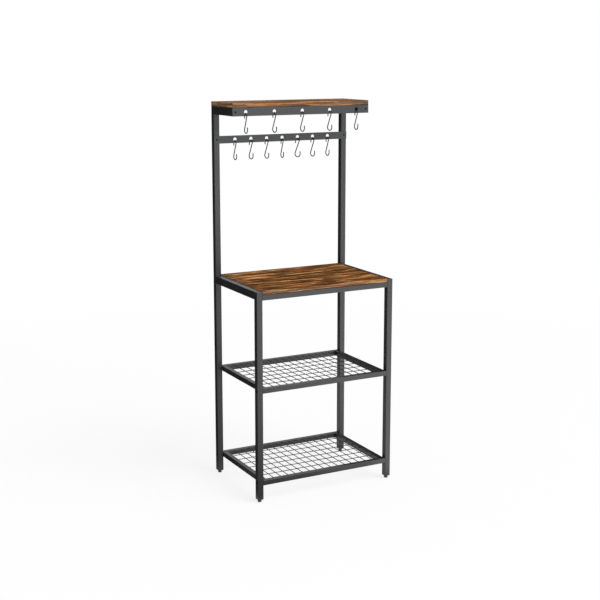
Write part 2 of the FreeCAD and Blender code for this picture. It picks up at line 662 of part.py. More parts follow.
def s_hook(label, x, y, z, angle):
    """An S-hook of round wire about its upper bend's centre, which it swings on."""
    body = new_body(label, x, y, z, turn=angle)
    upper = number("hook_upper_bend")
    lower = number("hook_lower_bend")
    low_centre = Vector(-number("hook_shift"), -number("hook_drop"), 0)
    lean = math.asin((upper + lower) / low_centre.Length) + math.atan2(low_centre.x, -low_centre.y)
    square = Vector(-math.cos(lean), -math.sin(lean), 0)
    upper_end = square * upper
    lower_end = low_centre - square * lower
    back_bottom = Vector(upper, -number("hook_back_tip"), 0)
    front_low = low_centre - Vector(lower, 0, 0)
    front_top = front_low + Vector(0, number("hook_front_tip"), 0)

    path = sketch_on(body, "YZ_Plane")
    normal = Vector(0, 0, 1)
    back, upper_bend, shank, lower_bend, front = range(5)
    path.addGeometry(Part.LineSegment(back_bottom, Vector(upper, 0, 0)), False)
    path.addGeometry(Part.ArcOfCircle(Part.Circle(Vector(), normal, upper), 0, math.pi + lean), False)
    path.addGeometry(Part.LineSegment(upper_end, lower_end), False)
    path.addGeometry(
        Part.ArcOfCircle(Part.Circle(low_centre, normal, lower), math.pi, 2 * math.pi + lean), False)
    path.addGeometry(Part.LineSegment(front_low, front_top), False)
    for kind, where in (
        ("Tangent", (back, END, upper_bend, START)),
        ("Tangent", (upper_bend, END, shank, START)),
        ("Tangent", (shank, END, lower_bend, END)),
        ("Tangent", (lower_bend, START, front, START)),
        ("Vertical", (back,)),
        ("Vertical", (front,)),
        ("Coincident", (upper_bend, CENTRE, *ORIGIN)),
    ):
        path.addConstraint(Sketcher.Constraint(kind, *where))
    dimension(path, "Radius", (upper_bend,), "hook_upper_bend")
    dimension(path, "Radius", (lower_bend,), "hook_lower_bend")
    dimension(path, "DistanceY", (back, START, back, END), "hook_back_tip")
    dimension(path, "DistanceY", (front, START, front, END), "hook_front_tip")
    pin(path, lower_bend, CENTRE, "-hook_shift", "-hook_drop")

    section = sketch_on(body, "XY_Plane", z="-hook_back_tip")
    circle(section, "0", "hook_upper_bend", "hook_wire")
    wire = body.newObject("PartDesign::AdditivePipe", label + "_wire")
    wire.Profile = section
    wire.Spine = (path, [])
    ease(body, wire, "Fillet", "hook_tip_round", is_cut_end)


def is_cut_end(edge):
    """True on the two flat ends of a hook, whose edges are level circles."""
    return edge.BoundBox.ZLength < edge.BoundBox.XLength / 2 and len(edge.Vertexes) == 1


# Whole unit

def make_all():
    fill_sheet()
    for side, sign in (("left", "-"), ("right", "")):
        side_frame(side, sign)
    connector_screws()
    leg_plugs()
    front_leg_caps()
    for side, x in (("left", "-post_x"), ("right", "post_x")):
        for end, y in (("front", "-post_y"), ("rear", "post_y")):
            levelling_foot("%s_%s_foot" % (side, end), x, y)
    worktop()
    wire_shelf("mid")
    wire_shelf("low")
    top_shelf()
    strips_and_hooks()


def check_all():
    doc.recompute()
    failed = [thing.Name for thing in doc.Objects if "Invalid" in thing.State or "Error" in thing.State]
    if failed:
        raise RuntimeError("these objects failed: " + ", ".join(failed))
    for node in nodes:
        if node.Shape.isNull() or not node.Shape.isValid():
            raise RuntimeError("bad shape: " + node.Label)


def write_all():
    os.makedirs("parts", exist_ok=True)
    for node in nodes:
        node.Shape.exportStep(os.path.join("parts", node.Label + ".step"))


make_all()
check_all()
write_all()
print(len(nodes), "pieces written")
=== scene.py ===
import json
import math

import bmesh
import bpy
from bpy.props import FloatProperty, FloatVectorProperty, IntProperty, PointerProperty
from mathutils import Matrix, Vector


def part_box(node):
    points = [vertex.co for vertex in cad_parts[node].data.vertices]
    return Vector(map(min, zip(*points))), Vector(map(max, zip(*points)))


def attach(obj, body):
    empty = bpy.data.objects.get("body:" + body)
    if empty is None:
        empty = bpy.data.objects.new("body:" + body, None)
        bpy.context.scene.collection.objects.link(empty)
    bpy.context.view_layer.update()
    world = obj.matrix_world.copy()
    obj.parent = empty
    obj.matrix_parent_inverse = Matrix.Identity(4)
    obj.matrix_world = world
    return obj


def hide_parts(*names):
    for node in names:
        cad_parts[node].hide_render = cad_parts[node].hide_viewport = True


# Kitchen shelving unit: finishes for its steel, boards and plastic, its screws and weld spots, and the stage.
# Metres. X points right, Y points back and Z up, from the floor under the unit's middle.

bl_info = {
    "name": "Kitchen Shelving Unit",
    "version": (1, 0, 0),
    "blender": (4, 5, 0),
    "location": "3D View > Sidebar > Shelving",
    "description": "Finishes the shelving unit's steel, boards and fasteners and sets its stage",
    "category": "Object",
}

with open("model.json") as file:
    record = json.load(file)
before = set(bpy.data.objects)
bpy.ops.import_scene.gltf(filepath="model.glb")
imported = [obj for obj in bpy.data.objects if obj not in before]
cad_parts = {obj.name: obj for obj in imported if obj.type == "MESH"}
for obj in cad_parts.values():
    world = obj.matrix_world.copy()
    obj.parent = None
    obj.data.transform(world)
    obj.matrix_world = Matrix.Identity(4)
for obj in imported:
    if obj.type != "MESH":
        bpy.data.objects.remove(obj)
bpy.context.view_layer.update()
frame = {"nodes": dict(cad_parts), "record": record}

MM = 0.001
PREFIX = "shelving."
SIDEBAR_TAB = "Shelving"

NODES_BY_SLOT = {}
for part in frame["record"]["subparts"]:
    NODES_BY_SLOT.setdefault(part["material_slot"], []).append(part["node"])

BLACK = (0.0, 0.0, 0.0, 1.0)
WHITE = (1.0, 1.0, 1.0, 1.0)
ZINC = (0.45, 0.45, 0.46)

# The CAD's wire meshes: wires from front to back, wires from left to right, and their radius.
DEEP_WIRES = 15
CROSS_WIRES = 6
WIRE_RADIUS = 1.5 * MM

# Knots printed on each board as (x, y, long, wide), in millimetres from the unit's middle.
WORKTOP_KNOTS = (
    (-130, -15, 26, 10), (215, -165, 18, 8), (-45, -168, 22, 8), (135, 105, 20, 8), (160, 60, 26, 9))
TOP_BOARD_KNOTS = ((-170, 70, 22, 8), (40, 130, 20, 8), (225, 30, 24, 9))
KNOT_BEND = -0.75

# Which part of the endless print lies on each board, in metres.
WORKTOP_SHIFT = (0.0, 0.0, 0.0)
TOP_BOARD_SHIFT = (1.37, 0.58, 0.37)

# The camera that the photograph's straight edges give.
PICTURE_PIXELS = 600
FOCAL_PIXELS = 1194.631
SENSOR_WIDE = 36.0
CAMERA_SHIFT = -0.045
CAMERA_PLACE = (-2.21067, -4.14516, 1.72806)
CAMERA_DOWN = 10.6242
CAMERA_TURN = 27.9559

TOWARDS_KEY_LIGHT = (0.45, -0.65, 0.61)
SOFTBOX_WIDE = 2.4
SOFTBOX_HIGH = 2.6
SOFTBOX_PLACE = (1.4, -4.9, 0.75)
SOFTBOX_AIM = (0.0, 0.0, 0.8)
WHITE_CARD_STRENGTH = 2.0


# Sizes and colours that a user would change

def colour_setting(name, description, default):
    return FloatVectorProperty(
        name=name, description=description, default=default, size=3, min=0, max=1, subtype="COLOR")


def length_setting(name, description, default):
    return FloatProperty(name=name, description=description, default=default, min=0, unit="LENGTH")


def share_setting(name, description, default):
    return FloatProperty(name=name, description=description, default=default, min=0, max=1, subtype="FACTOR")


class CoatSettings(bpy.types.PropertyGroup):
    frame_colour: colour_setting("Frame", "Powder coat of tubes", (0.0180, 0.0180, 0.0185))
    strip_colour: colour_setting("Strips", "Powder coat of apron and hook strip", (0.017, 0.019, 0.022))
    wire_colour: colour_setting("Wires", "Powder coat of the shelf wires", (0.010, 0.010, 0.011))
    hook_colour: colour_setting("Hooks", "Lacquer of the S-hooks", (0.014, 0.014, 0.015))
    bolt_colour: colour_setting("Bolts", "Black finish of bolts and screws", (0.005, 0.005, 0.005))
    roughness: share_setting("Roughness", "Roughness of the powder coat", 0.42)
    grain: length_setting("Grain", "Width of one bump of the powder coat", 0.0016)


class BoardSettings(bpy.types.PropertyGroup):
    light: colour_setting("Light Wood", "Lighter part of the grain", (0.540, 0.204, 0.052))
    middle: colour_setting("Middle Wood", "Middle tone of the grain", (0.232, 0.080, 0.019))
    gold: colour_setting("Golden Wood", "Golden streaks", (0.780, 0.450, 0.175))
    dark: colour_setting("Dark Wood", "Dark streaks and knots", (0.050, 0.015, 0.004))
    olive: colour_setting("Olive Wood", "Tan patches", (0.330, 0.190, 0.066))
    rose: colour_setting("Rose Wood", "Reddish patches", (0.300, 0.085, 0.036))
    pale: colour_setting("Pale Wood", "What the top board's print is faded towards", (0.80, 0.62, 0.48))
    fade: share_setting("Fade", "How far the top board's print is faded", 0.04)
    edge_tone: share_setting("Edge Tone", "Brightness of the edge bands as a share of the face's", 0.82)
    edge_fade: share_setting("Edge Fade", "How far the print is faded on the edge bands", 0.09)
    # The dark line at the edge bands' foot is painted shade where the board meets the frame under it.
    painted_shade_high: length_setting("Painted Shade Height", "Height of the dark line at the edge bands' foot", 0.005)
    painted_shade_dark: share_setting("Painted Shade Darkness", "How dark that line is", 0.7)
    plank_wide: length_setting("Plank Width", "Width of one printed plank", 0.088)
    plank_long: length_setting("Plank Length", "Length of one printed plank", 0.47)
    roughness: share_setting("Roughness", "Roughness of the board's face", 0.6)


class PlasticSettings(bpy.types.PropertyGroup):
    colour: colour_setting("Plastic", "Feet, plugs and caps", (0.018, 0.018, 0.019))
    roughness: share_setting("Roughness", "Roughness of the moulded plastic", 0.5)


class WeldSettings(bpy.types.PropertyGroup):
    spot_radius: length_setting("Spot Radius", "Radius of a weld spot where two wires cross", 0.0019)
    end_radius: length_setting("End Radius", "Radius of a weld at a wire's end", 0.0024)
    flatness: share_setting("Flatness", "Height of a weld spot as a share of its radius", 0.55)
    seed: IntProperty(name="Seed", description="Seed of the weld spots' uneven sizes", default=4, min=0)


class ScrewSettings(bpy.types.PropertyGroup):
    head_radius: length_setting("Head Radius", "Radius of a screw's head", 0.0035)
    head_high: length_setting("Head Height", "Height of a screw's head", 0.0016)
    shank_radius: length_setting("Shank Radius", "Radius of a screw's shank", 0.00175)
    recess_long: length_setting("Recess Length", "Length of each slot of the cross recess", 0.0040)
    recess_wide: length_setting("Recess Width", "Width of each slot of the cross recess", 0.0009)
    recess_deep: length_setting("Recess Depth", "Depth of the cross recess", 0.0011)


class StageSettings(bpy.types.PropertyGroup):
    floor_radius: length_setting("Floor Radius", "Radius of the round floor", 14.0)
    floor_colour: colour_setting("Floor", "Plain floor", (0.97, 0.97, 0.97))
    key_strength: FloatProperty(
        name="Key Light", description="Strength of the soft key light", default=2.4, min=0)
    key_spread: FloatProperty(
        name="Key Spread", description="Apparent width of the key light", default=math.radians(50),
        subtype="ANGLE")
    fill: share_setting("Fill", "Strength of the surroundings as light on the unit", 0.5)
    glow: share_setting("Floor Glow", "How far the floor is seen as plain white, with its shadows faint", 0.8)
    shade_radius: length_setting("Shade Radius", "Where the floor's shading begins to fade into white", 0.6)
    white_radius: length_setting("White Radius", "Where the floor is plain white", 4.0)
    softbox_watts: FloatProperty(name="Softbox", description="Power of the front softbox", default=70, min=0)


SETTINGS = {
    "shelving_coat": CoatSettings,
    "shelving_board": BoardSettings,
    "shelving_plastic": PlasticSettings,
    "shelving_weld": WeldSettings,
    "shelving_screw": ScrewSettings,
    "shelving_stage": StageSettings,
}


# Node trees

def add_node(tree, kind, inputs=None, **fields):
    """A node with its fields set and its inputs given as values or as other nodes' outputs."""
    node = tree.nodes.new(kind)
    for field, value in fields.items():
        setattr(node, field, value)
    for key, value in (inputs or {}).items():
        if isinstance(value, bpy.types.NodeSocket):
            tree.links.new(value, node.inputs[key])
        else:
            node.inputs[key].default_value = value
    return node


def calc(tree, operation, *values, clamp=False):
    """The output of a Math node."""
    node = add_node(tree, "ShaderNodeMath", dict(enumerate(values)), operation=operation, use_clamp=clamp)
    return node.outputs[0]


def vector_calc(tree, operation, *values):
    """The output of a Vector Math node."""
    node = add_node(tree, "ShaderNodeVectorMath", dict(enumerate(values)), operation=operation)
    return node.outputs["Value" if operation == "LENGTH" else "Vector"]


def scaled_noise(tree, vector, scales, detail, roughness=0.55, distortion=0.0):
    """Noise stretched by its own scale along each axis."""
    stretched = vector_calc(tree, "MULTIPLY", vector, scales)
    node = add_node(
        tree, "ShaderNodeTexNoise",
        {
            "Vector": stretched, "Scale": 1.0, "Detail": detail, "Roughness": roughness,
            "Distortion": distortion,
        })
    return node.outputs["Fac"]


def between(tree, value, low, high):
    """0 below low, 1 above high and a smooth step in between."""
    node = add_node(
        tree, "ShaderNodeMapRange", {"Value": value, "From Min": low, "From Max": high},
        interpolation_type="SMOOTHSTEP")
    return node.outputs["Result"]


def spread_out(tree, value, low, high):
    """Noise from 0.3 to 0.7, where most of it lies, spread from low to high."""
    node = add_node(
        tree, "ShaderNodeMapRange",
        {"Value": value, "From Min": 0.3, "From Max": 0.7, "To Min": low, "To Max": high})
    return node.outputs["Result"]


def blend_colours(tree, factor, first, second):
    """The first colour where factor is 0, the second where it is 1."""
    node = add_node(tree, "ShaderNodeMix", data_type="RGBA", clamp_factor=True)
    for socket, value in (("Factor_Float", factor), ("A_Color", first), ("B_Color", second)):
        target = next(entry for entry in node.inputs if entry.identifier == socket)
        if isinstance(value, bpy.types.NodeSocket):
            tree.links.new(value, target)
        else:
            target.default_value = value
    return next(entry for entry in node.outputs if entry.identifier == "Result_Color")


def toned(tree, colour, tone):
    """A colour made brighter or darker by a value."""
    scaled = vector_calc(tree, "SCALE", colour)
    tree.links.new(tone, scaled.node.inputs["Scale"])
    return scaled


def opaque(colour):
    """A setting's colour as a socket takes it."""
    return (*colour, 1.0)


SOCKET_KINDS = {
    "vector": "NodeSocketVector", "colour": "NodeSocketColor", "value": "NodeSocketFloat",
    "object": "NodeSocketObject", "material": "NodeSocketMaterial", "geometry": "NodeSocketGeometry",
    "count": "NodeSocketInt",
}


def new_group(name, kind, inputs, outputs):
    """A node group with named sockets, and its input and output nodes."""
    tree = bpy.data.node_groups.new(name, kind)
    for direction, sockets in (("INPUT", inputs), ("OUTPUT", outputs)):
        for label, socket in sockets:
            tree.interface.new_socket(label, in_out=direction, socket_type=SOCKET_KINDS[socket])
    return tree, tree.nodes.new("NodeGroupInput"), tree.nodes.new("NodeGroupOutput")


def place_group(tree, name, inputs):
    """A shared effect's node in a material's tree."""
    return add_node(tree, "ShaderNodeGroup", inputs, node_tree=bpy.data.node_groups[name])


# Effects that several materials share

COAT_GROUP = "powder_grain"
KNOT_GROUP = "board_knot"
GRAIN_GROUP = "board_grain"


def build_coat_group():
    """Fine bumps of powder coat, with a slow change of gloss and tone over the surface."""
    tree, given, result = new_group(
        COAT_GROUP, "ShaderNodeTree",
        (("Vector", "vector"), ("Colour", "colour"), ("Roughness", "value"), ("Grain", "value")),
        (("Colour", "colour"), ("Roughness", "value"), ("Height", "value")))
    vector = given.outputs["Vector"]
    per_metre = calc(tree, "DIVIDE", 1.0, given.outputs["Grain"])
    peel = add_node(
        tree, "ShaderNodeTexNoise", {"Vector": vector, "Scale": per_metre, "Detail": 2.0, "Roughness": 0.4})
    slow = scaled_noise(tree, vector, (9.0, 9.0, 9.0), detail=3.0)
    specks = scaled_noise(tree, vector, (900.0, 900.0, 900.0), detail=1.0)

    tone = calc(tree, "MULTIPLY", spread_out(tree, slow, 0.9, 1.1), spread_out(tree, specks, 0.92, 1.08))
    tree.links.new(toned(tree, given.outputs["Colour"], tone), result.inputs["Colour"])
    roughness = calc(
        tree, "ADD", given.outputs["Roughness"], spread_out(tree, slow, -0.04, 0.05), clamp=True)
    tree.links.new(roughness, result.inputs["Roughness"])
    tree.links.new(peel.outputs["Fac"], result.inputs["Height"])


def build_knot_group():
    """One knot: a mask of its dark heart, its rings, and how far the grain bends round it."""
    tree, given, result = new_group(
        KNOT_GROUP, "ShaderNodeTree",
        (("Vector", "vector"), ("Centre", "vector"), ("Size", "vector"), ("Bend", "value")),
        (("Bend", "value"), ("Mask", "value")))
    away = vector_calc(tree, "SUBTRACT", given.outputs["Vector"], given.outputs["Centre"])
    shares = vector_calc(tree, "DIVIDE", away, given.outputs["Size"])
    distance = vector_calc(tree, "LENGTH", shares)
    ragged = scaled_noise(tree, given.outputs["Vector"], (90.0, 160.0, 160.0), detail=3.0)
    distance = calc(tree, "ADD", distance, calc(tree, "MULTIPLY", calc(tree, "SUBTRACT", ragged, 0.5), 0.9))
    fall = calc(tree, "EXPONENT", calc(tree, "MULTIPLY", calc(tree, "MULTIPLY", distance, distance), -1.0))
    near = between(tree, distance, 1.0, 0.25)
    rings = calc(tree, "SINE", calc(tree, "MULTIPLY", distance, 16.0))
    ringed = calc(tree, "MULTIPLY", near, calc(tree, "ADD", calc(tree, "MULTIPLY", rings, 0.15), 0.85))
    across = add_node(tree, "ShaderNodeSeparateXYZ", {"Vector": away}).outputs["Y"]
    bend = calc(tree, "MULTIPLY", calc(tree, "MULTIPLY", across, fall), given.outputs["Bend"])
    tree.links.new(bend, result.inputs["Bend"])
    tree.links.new(ringed, result.inputs["Mask"])


def build_grain_group():
    """Printed wood of mixed planks, with its grain along X."""
    tree, given, result = new_group(
        GRAIN_GROUP, "ShaderNodeTree",
        (
            ("Vector", "vector"), ("Plank Width", "value"), ("Plank Length", "value"), ("Knots", "value"),
            ("Light", "colour"), ("Middle", "colour"), ("Gold", "colour"), ("Dark", "colour"),
            ("Olive", "colour"), ("Rose", "colour"),
        ),
        (("Colour", "colour"), ("Gloss", "value"), ("Height", "value")))
    vector = given.outputs["Vector"]
    spread = add_node(tree, "ShaderNodeSeparateXYZ", {"Vector": vector})
    wander = scaled_noise(tree, vector, (5.0, 9.0, 9.0), detail=2.0)
    across = calc(
        tree, "ADD", spread.outputs["Y"], calc(tree, "MULTIPLY", calc(tree, "SUBTRACT", wander, 0.5), 0.006))
    row = calc(tree, "FLOOR", calc(tree, "DIVIDE", across, given.outputs["Plank Width"]))
    row_noise = add_node(tree, "ShaderNodeTexWhiteNoise", {"W": row}, noise_dimensions="1D").outputs["Value"]
    along = calc(tree, "DIVIDE", spread.outputs["X"], given.outputs["Plank Length"])
    along = calc(tree, "ADD", along, row_noise)
    plank = add_node(tree, "ShaderNodeCombineXYZ", {"X": row, "Y": calc(tree, "FLOOR", along)})
    chance = add_node(
        tree, "ShaderNodeTexWhiteNoise", {"Vector": plank.outputs["Vector"]}, noise_dimensions="3D")
    own = vector_calc(tree, "MULTIPLY", chance.outputs["Color"], (0.02, 0.004, 0.0))
    place = vector_calc(tree, "ADD", vector, own)

    broad = scaled_noise(tree, place, (3.0, 30.0, 90.0), detail=5.0, roughness=0.6, distortion=0.2)
    streaks = scaled_noise(tree, place, (4.0, 44.0, 150.0), detail=6.0, roughness=0.66, distortion=0.15)
    aside = vector_calc(tree, "ADD", place, (0.0, 0.7, 0.0))
    golden = scaled_noise(tree, aside, (5.0, 56.0, 170.0), detail=4.0, roughness=0.62, distortion=0.15)
    lines = scaled_noise(tree, place, (8.0, 90.0, 240.0), detail=4.0, roughness=0.6, distortion=0.15)
    clusters = scaled_noise(tree, place, (2.6, 13.0, 13.0), detail=3.0, roughness=0.5, distortion=0.3)
    fibres = scaled_noise(tree, place, (26.0, 900.0, 900.0), detail=3.0, roughness=0.6)
    patches = scaled_noise(tree, vector, (7.0, 13.0, 13.0), detail=2.0)

    colour = blend_colours(
        tree, between(tree, broad, 0.43, 0.57), given.outputs["Middle"], given.outputs["Light"])
    shine = calc(tree, "MULTIPLY", between(tree, golden, 0.49, 0.58), 0.9)
    colour = blend_colours(tree, shine, colour, given.outputs["Gold"])
    tan = calc(tree, "MULTIPLY", between(tree, patches, 0.52, 0.62), 0.4)
    colour = blend_colours(tree, tan, colour, given.outputs["Olive"])
    red = calc(tree, "MULTIPLY", between(tree, patches, 0.47, 0.37), 0.5)
    colour = blend_colours(tree, red, colour, given.outputs["Rose"])

    tone = add_node(
        tree, "ShaderNodeMapRange",
        {"Value": chance.outputs["Value"], "To Min": 0.95, "To Max": 1.05}).outputs["Result"]
    wood = toned(tree, colour, calc(tree, "MULTIPLY", tone, spread_out(tree, fibres, 0.8, 1.16)))

    cluster = between(tree, clusters, 0.30, 0.48)
    streak = calc(tree, "MULTIPLY", between(tree, streaks, 0.45, 0.52), cluster)
    thin = calc(tree, "MULTIPLY", between(tree, lines, 0.50, 0.57), 0.95)
    dark = calc(tree, "MAXIMUM", calc(tree, "MAXIMUM", streak, thin), given.outputs["Knots"])
    colour = blend_colours(tree, calc(tree, "MULTIPLY", dark, 0.95), wood, given.outputs["Dark"])
    tree.links.new(colour, result.inputs["Colour"])
    tree.links.new(calc(tree, "MULTIPLY", dark, 0.1), result.inputs["Gloss"])
    relief = calc(tree, "SUBTRACT", calc(tree, "MULTIPLY", fibres, 0.4), calc(tree, "MULTIPLY", dark, 0.6))
    tree.links.new(relief, result.inputs["Height"])


# Materials

def new_material(name, **values):
    """A material with one Principled shader, its tree and the shader, with the values that never change."""
    material = bpy.data.materials.new(name)
    material.use_nodes = True
    tree = material.node_tree
    tree.nodes.clear()
    shader = tree.nodes.new("ShaderNodeBsdfPrincipled")
    output = tree.nodes.new("ShaderNodeOutputMaterial")
    tree.links.new(shader.outputs["BSDF"], output.inputs["Surface"])
    for key, value in values.items():
        shader.inputs[key.replace("_", " ").title().replace("Ior", "IOR")].default_value = value
    return material, tree, shader


def object_place(tree):
    """Places on the piece in metres."""
    return tree.nodes.new("ShaderNodeTexCoord").outputs["Object"]


def bump(tree, shader, height, deep):
    """Relief that is deep metres from its lowest to its highest point."""
    node = add_node(tree, "ShaderNodeBump", {"Height": height, "Distance": deep})
    tree.links.new(node.outputs["Normal"], shader.inputs["Normal"])


def coated(name, colour, roughness, grain, deep, **values):
    """Steel or plastic under a grained finish of one colour."""
    material, tree, shader = new_material(name, **values)
    finish = place_group(
        tree, COAT_GROUP,
        {"Vector": object_place(tree), "Colour": opaque(colour), "Roughness": roughness, "Grain": grain})
    tree.links.new(finish.outputs["Colour"], shader.inputs["Base Color"])
    tree.links.new(finish.outputs["Roughness"], shader.inputs["Roughness"])
    bump(tree, shader, finish.outputs["Height"], deep)
    return material


def board_material(name, settings, board, knots, shift, fade):
    """Board print with knots at their places, its edge bands toned and a line of painted shade along their
    foot, where the board meets the frame under it.
    """
    material, tree, shader = new_material(name, specular_ior_level=0.004)
    place = object_place(tree)
    normal = add_node(
        tree, "ShaderNodeSeparateXYZ", {"Vector": tree.nodes.new("ShaderNodeNewGeometry").outputs["Normal"]})
    parts = add_node(tree, "ShaderNodeSeparateXYZ", {"Vector": place})
    end_face = calc(tree, "GREATER_THAN", calc(tree, "ABSOLUTE", normal.outputs["X"]), 0.7)
    turned = add_node(
        tree, "ShaderNodeCombineXYZ",
        {"X": parts.outputs["Y"], "Y": parts.outputs["X"], "Z": parts.outputs["Z"]}).outputs["Vector"]
    place = blend_colours(tree, end_face, place, turned)

    mask = 0.0
    bend = 0.0
    for x, y, long, wide in knots:
        knot = place_group(
            tree, KNOT_GROUP,
            {
                "Vector": vector_calc(tree, "MULTIPLY", place, (1.0, 1.0, 0.0)),
                "Centre": (x * MM, y * MM, 0.0), "Size": (long * MM, wide * MM, 1.0), "Bend": KNOT_BEND,
            })
        mask = calc(tree, "MAXIMUM", mask, knot.outputs["Mask"])
        bend = calc(tree, "ADD", bend, knot.outputs["Bend"])
    bent = add_node(tree, "ShaderNodeCombineXYZ", {"Y": bend}).outputs["Vector"]
    place = vector_calc(tree, "ADD", vector_calc(tree, "ADD", place, bent), shift)
    grain = place_group(
        tree, GRAIN_GROUP,
        {
            "Vector": place, "Knots": mask,
            "Plank Width": settings.plank_wide, "Plank Length": settings.plank_long,
            "Light": opaque(settings.light), "Middle": opaque(settings.middle), "Gold": opaque(settings.gold),
            "Dark": opaque(settings.dark), "Olive": opaque(settings.olive), "Rose": opaque(settings.rose),
        })
    edge = calc(tree, "LESS_THAN", calc(tree, "ABSOLUTE", normal.outputs["Z"]), 0.5)
    share = calc(tree, "MAXIMUM", fade, calc(tree, "MULTIPLY", edge, settings.edge_fade))
    faded = blend_colours(tree, share, grain.outputs["Colour"], opaque(settings.pale))
    edge_tone = add_node(
        tree, "ShaderNodeMapRange", {"Value": edge, "To Min": 1.0, "To Max": settings.edge_tone})
    # A dark line of painted shade along the foot of the edge bands, where the board meets the frame under it.
    underside = min(corner[2] for corner in frame["nodes"][board].bound_box)
    painted_shade = between(tree, parts.outputs["Z"], underside + settings.painted_shade_high, underside)
    painted_shade = calc(tree, "MULTIPLY", calc(tree, "MULTIPLY", painted_shade, edge), settings.painted_shade_dark)
    tone = calc(tree, "MULTIPLY", edge_tone.outputs["Result"], calc(tree, "SUBTRACT", 1.0, painted_shade))
    tree.links.new(toned(tree, faded, tone), shader.inputs["Base Color"])
    tree.links.new(calc(tree, "ADD", grain.outputs["Gloss"], settings.roughness), shader.inputs["Roughness"])
    bump(tree, shader, grain.outputs["Height"], deep=0.12 * MM)
    return material


def seen_ray(tree):
    """1 for a ray from the camera or by way of gloss or glass, and 0 for the light on a surface."""
    path = tree.nodes.new("ShaderNodeLightPath")
    return calc(
        tree, "MAXIMUM", path.outputs["Is Camera Ray"],
        calc(tree, "MAXIMUM", path.outputs["Is Glossy Ray"], path.outputs["Is Transmission Ray"]))


def finish_nodes(nodes, material):
    """Gives the CAD nodes one material."""
    for name in nodes:
        for slot in frame["nodes"][name].material_slots:
            slot.material = material


# Pieces that the scene adds or makes again

def mesh_object(name, mesh):
    """The mesh as a piece of the scene."""
    piece = bpy.data.objects.new(name, mesh)
    bpy.context.scene.collection.objects.link(piece)
    return piece


def points_object(name, places, facings):
    """Loose points, each with the direction that it faces."""
    mesh = bpy.data.meshes.new(name)
    mesh.from_pydata(places, [], [])
    facing = mesh.attributes.new("facing", "FLOAT_VECTOR", "POINT")
    facing.data.foreach_set("vector", [part for direction in facings for part in direction])
    return mesh_object(name, mesh)


def grown(piece, tree, values):
    """The piece after its Geometry Nodes have run once, as a plain mesh with no modifier."""
    modifier = piece.modifiers.new(tree.name, "NODES")
    modifier.node_group = tree
    for socket in tree.interface.items_tree:
        if socket.in_out == "INPUT" and socket.name in values:
            modifier[socket.identifier] = values[socket.name]
    piece.update_tag()
    depsgraph = bpy.context.evaluated_depsgraph_get()
    mesh = bpy.data.meshes.new_from_object(piece.evaluated_get(depsgraph), depsgraph=depsgraph)
    piece.modifiers.remove(modifier)
    points = piece.data
    piece.data = mesh
    mesh.name = piece.name
    bpy.data.meshes.remove(points)
    return piece


def facing_rotation(tree):
    """What turns an instance's Z to its point's facing."""
    facing = add_node(
        tree, "GeometryNodeInputNamedAttribute", {"Name": "facing"}, data_type="FLOAT_VECTOR")
    facing = next(socket for socket in facing.outputs if socket.enabled and socket.name == "Attribute")
    aligned = add_node(tree, "FunctionNodeAlignRotationToVector", {"Vector": facing}, axis="Z")
    return aligned.outputs["Rotation"]


def weld_tree():
    """Flattened drops of weld on points, uneven in size."""
    tree, given, result = new_group(
        "weld_spots", "GeometryNodeTree",
        (
            ("Points", "geometry"), ("Radius", "value"), ("Flatness", "value"), ("Seed", "count"),
            ("Material", "material"),
        ),
        (("Welds", "geometry"),))
    drop = add_node(
        tree, "GeometryNodeMeshIcoSphere", {"Radius": given.outputs["Radius"], "Subdivisions": 2})
    flat = add_node(tree, "ShaderNodeCombineXYZ", {"X": 1.0, "Y": 1.0, "Z": given.outputs["Flatness"]})
    drop = add_node(
        tree, "GeometryNodeTransform", {"Geometry": drop.outputs["Mesh"], "Scale": flat.outputs["Vector"]})
    uneven = add_node(
        tree, "FunctionNodeRandomValue", {"Seed": given.outputs["Seed"]}, data_type="FLOAT")
    limits = {"Min": 0.82, "Max": 1.12}
    for socket in uneven.inputs:
        if socket.enabled and socket.name in limits:
            socket.default_value = limits[socket.name]
    size = next(socket for socket in uneven.outputs if socket.enabled)
    set_out = add_node(
        tree, "GeometryNodeInstanceOnPoints",
        {
            "Points": given.outputs["Points"], "Instance": drop.outputs["Geometry"],
            "Rotation": facing_rotation(tree), "Scale": size,
        })
    solid = add_node(tree, "GeometryNodeRealizeInstances", {"Geometry": set_out.outputs["Instances"]})
    smooth = add_node(tree, "GeometryNodeSetShadeSmooth", {"Geometry": solid.outputs["Geometry"]})
    painted = add_node(
        tree, "GeometryNodeSetMaterial",
        {"Geometry": smooth.outputs["Geometry"], "Material": given.outputs["Material"]})
    tree.links.new(painted.outputs["Geometry"], result.inputs["Welds"])
    return tree


